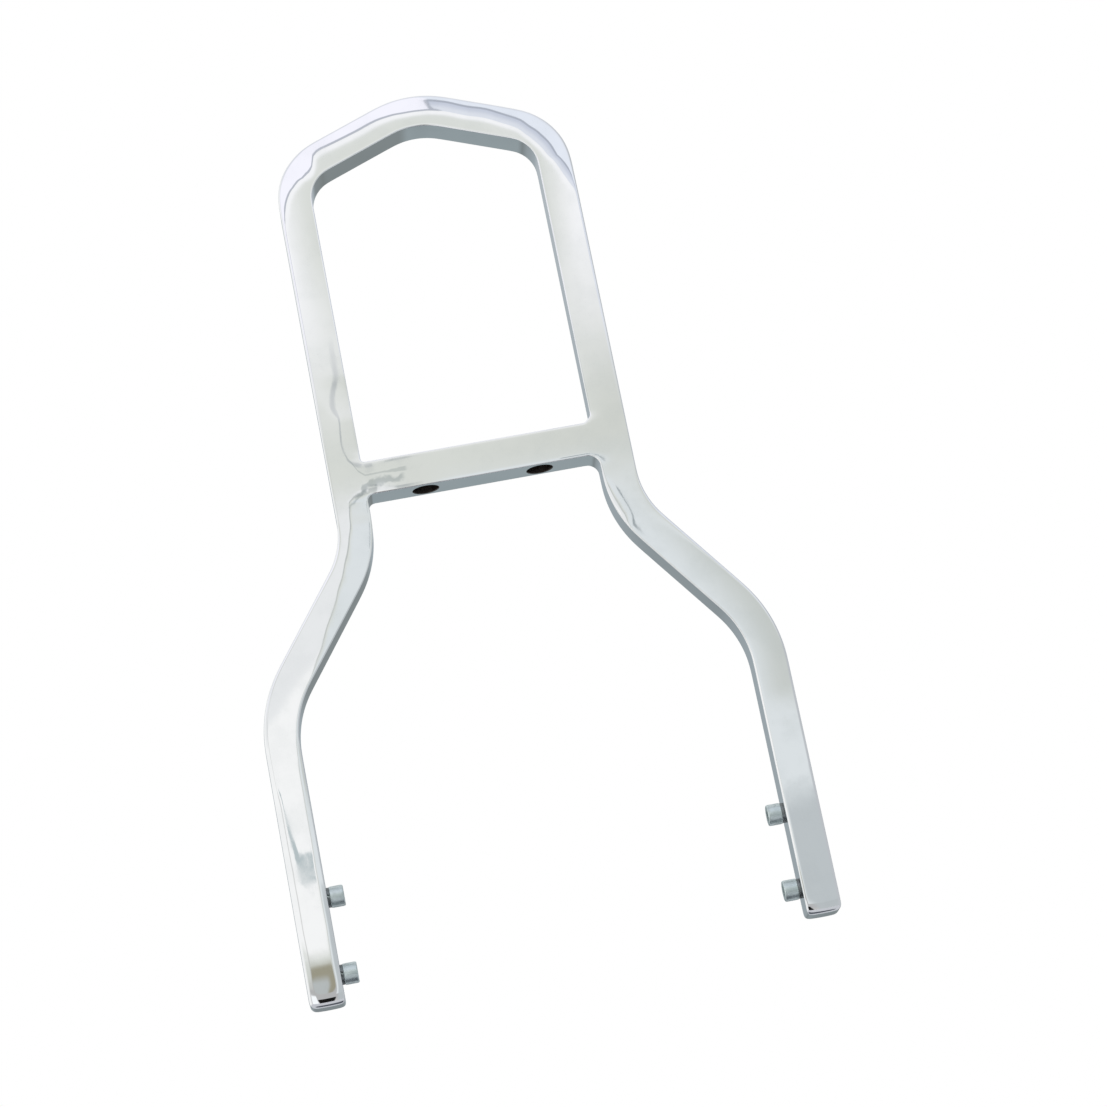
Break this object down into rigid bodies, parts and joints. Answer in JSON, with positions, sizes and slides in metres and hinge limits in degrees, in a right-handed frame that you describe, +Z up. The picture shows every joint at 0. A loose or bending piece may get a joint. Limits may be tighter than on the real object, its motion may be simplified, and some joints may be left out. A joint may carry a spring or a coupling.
{
  "type": "sissy bar",
  "caption": "Chromed square-bar sissy bar: bent hoop and splayed legs with a welded, counterbored crossbar and side screws for fender brackets.",
  "frame": {"origin": "midway between the two feet, on the plane that the legs end in and in the bar's middle plane", "axes": "+Z up along the legs towards the arch, +X towards the right leg as seen in the picture, -Y towards the face that the picture shows"},
  "size_m": [0.239, 0.0158, 0.4181],
  "materials": {
    "chrome_bar": "polished chrome plate",
    "zinc_screw": "dull zinc plate, knurled heads",
    "washer_steel": "dull zinc plate"
  },
  "bodies": {
    "root": {"bent_bar": "chrome_bar", "crossbar": "chrome_bar", "weld_left": "chrome_bar", "weld_right": "chrome_bar", "screw_left_lower": "zinc_screw", "screw_left_upper": "zinc_screw", "screw_right_lower": "zinc_screw", "screw_right_upper": "zinc_screw", "lock_washer_left_lower": "washer_steel", "lock_washer_left_upper": "washer_steel", "lock_washer_right_lower": "washer_steel", "lock_washer_right_upper": "washer_steel"}
  },
  "joints": []
}
